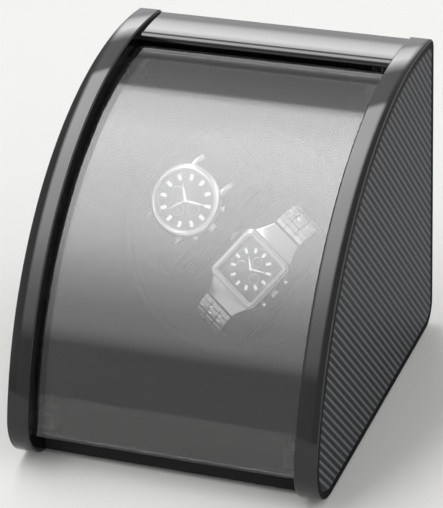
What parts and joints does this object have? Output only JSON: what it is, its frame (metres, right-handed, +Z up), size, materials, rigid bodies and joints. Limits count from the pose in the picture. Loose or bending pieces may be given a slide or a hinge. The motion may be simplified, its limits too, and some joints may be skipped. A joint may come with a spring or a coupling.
{
  "type": "watch winder box",
  "caption": "Desk watch winder with lacquered cheeks, a curved smoked door that lifts from below, and a geared tilted turntable that carries watch cushions.",
  "frame": {"origin": "on the table under the middle of the box", "axes": "+Z up, -Y towards the front where the door is, +X to the right seen from the front"},
  "size_m": [0.18, 0.228, 0.19],
  "materials": {
    "black_lacquer": "high-gloss black lacquer on fibreboard",
    "carbon_twill": "carbon-look twill laminate under clear coat",
    "smoked_acrylic": "polished smoked acrylic",
    "board": "black-dyed fibreboard",
    "suede_lining": "black suede on thin board",
    "suede_board": "fibreboard covered in black suede",
    "black_plastic": "fine-textured black moulding",
    "zinc_steel": "bright zinc-plated steel",
    "bronze": "sintered bronze",
    "nylon": "natural nylon",
    "rubber": "matt rubber",
    "circuit_board": "green solder mask",
    "cushion_cover": "black leatherette over foam",
    "strap_leather": "black grained leather",
    "watch_steel": "polished and brushed stainless steel",
    "dial_enamel": "dark satin dial",
    "hands_chrome": "polished hands",
    "crystal": "clear crystal"
  },
  "bodies": {
    "case": {"left_cheek": "black_lacquer", "right_cheek": "black_lacquer", "left_inlay": "carbon_twill", "right_inlay": "carbon_twill", "top_rail": "black_lacquer", "base_board": "board", "case_dowels": "board", "front_sill": "black_lacquer", "back_panel": "black_plastic", "back_screws": "zinc_steel", "upper_batten": "board", "rubber_feet": "rubber", "liner_boards": "suede_lining", "deck": "suede_board", "deck_cleats": "board", "deck_screws": "zinc_steel", "door_stops": "black_plastic", "stop_magnets": "zinc_steel", "pivot_bushes": "nylon", "front_bush": "bronze", "rear_bush": "bronze", "drive_plate": "zinc_steel", "plate_pillars": "zinc_steel", "drive_screws": "zinc_steel", "motor_gearbox": "zinc_steel", "motor_can": "zinc_steel", "control_board": "circuit_board", "selector_bodies": "black_plastic", "power_switch_body": "black_plastic", "power_inlet": "black_plastic"},
    "door": {"door_panel": "smoked_acrylic", "pivot_blocks": "black_plastic", "pivot_pins": "zinc_steel", "catch_plates": "zinc_steel"},
    "turntable": {"turntable_disc": "black_plastic", "turntable_shaft": "zinc_steel", "retaining_clip": "zinc_steel", "drive_gear": "nylon", "round_cradle": "black_plastic", "square_cradle": "black_plastic", "cradle_screws": "zinc_steel"},
    "pinion": {"motor_pinion": "bronze"},
    "round_unit": {"round_cushion": "cushion_cover", "round_strap": "strap_leather", "round_case": "watch_steel", "round_dial": "dial_enamel", "round_hands": "hands_chrome", "round_crystal": "crystal", "round_crown": "watch_steel"},
    "square_unit": {"square_cushion": "cushion_cover", "square_bracelet": "watch_steel", "square_case": "watch_steel", "square_dial": "dial_enamel", "square_hands": "hands_chrome", "square_crystal": "crystal", "square_crown": "watch_steel"},
    "mode_knob": {"mode_knob": "black_plastic"},
    "turns_knob": {"turns_knob": "black_plastic"},
    "rocker": {"power_rocker": "black_plastic"}
  },
  "joints": [
    {"name": "door_hinge", "type": "hinge", "parent": "case", "child": "door", "pos_m": [0, 0.05814, 0.17143], "axis": [-1, 0, 0], "range_deg": [0, 80]},
    {"name": "turntable_spin", "type": "hinge", "parent": "case", "child": "turntable", "pos_m": [0, 0.0284, 0.08602], "axis": [0, -0.866, 0.5], "continuous": true},
    {"name": "pinion_spin", "type": "hinge", "parent": "case", "child": "pinion", "pos_m": [0.0256, 0.0284, 0.08602], "axis": [0, -0.866, 0.5], "continuous": true},
    {"name": "round_cushion_lift", "type": "slide", "parent": "turntable", "child": "round_unit", "axis": [0, -0.866, 0.5], "range_m": [0, 0.008]},
    {"name": "square_cushion_lift", "type": "slide", "parent": "turntable", "child": "square_unit", "axis": [0, -0.866, 0.5], "range_m": [0, 0.008]},
    {"name": "mode_knob_turn", "type": "hinge", "parent": "case", "child": "mode_knob", "pos_m": [-0.048, 0.10502, 0.042], "axis": [0, 1, 0], "range_deg": [-45, 45]},
    {"name": "turns_knob_turn", "type": "hinge", "parent": "case", "child": "turns_knob", "pos_m": [-0.016, 0.10502, 0.042], "axis": [0, 1, 0], "range_deg": [-120, 120]},
    {"name": "power_rocker_tip", "type": "hinge", "parent": "case", "child": "rocker", "pos_m": [0.052, 0.10242, 0.084], "axis": [-1, 0, 0], "range_deg": [0, 16]}
  ],
  "couplings": [
    {"joint": "pinion_spin", "follows": "turntable_spin", "ratio": -3}
  ]
}
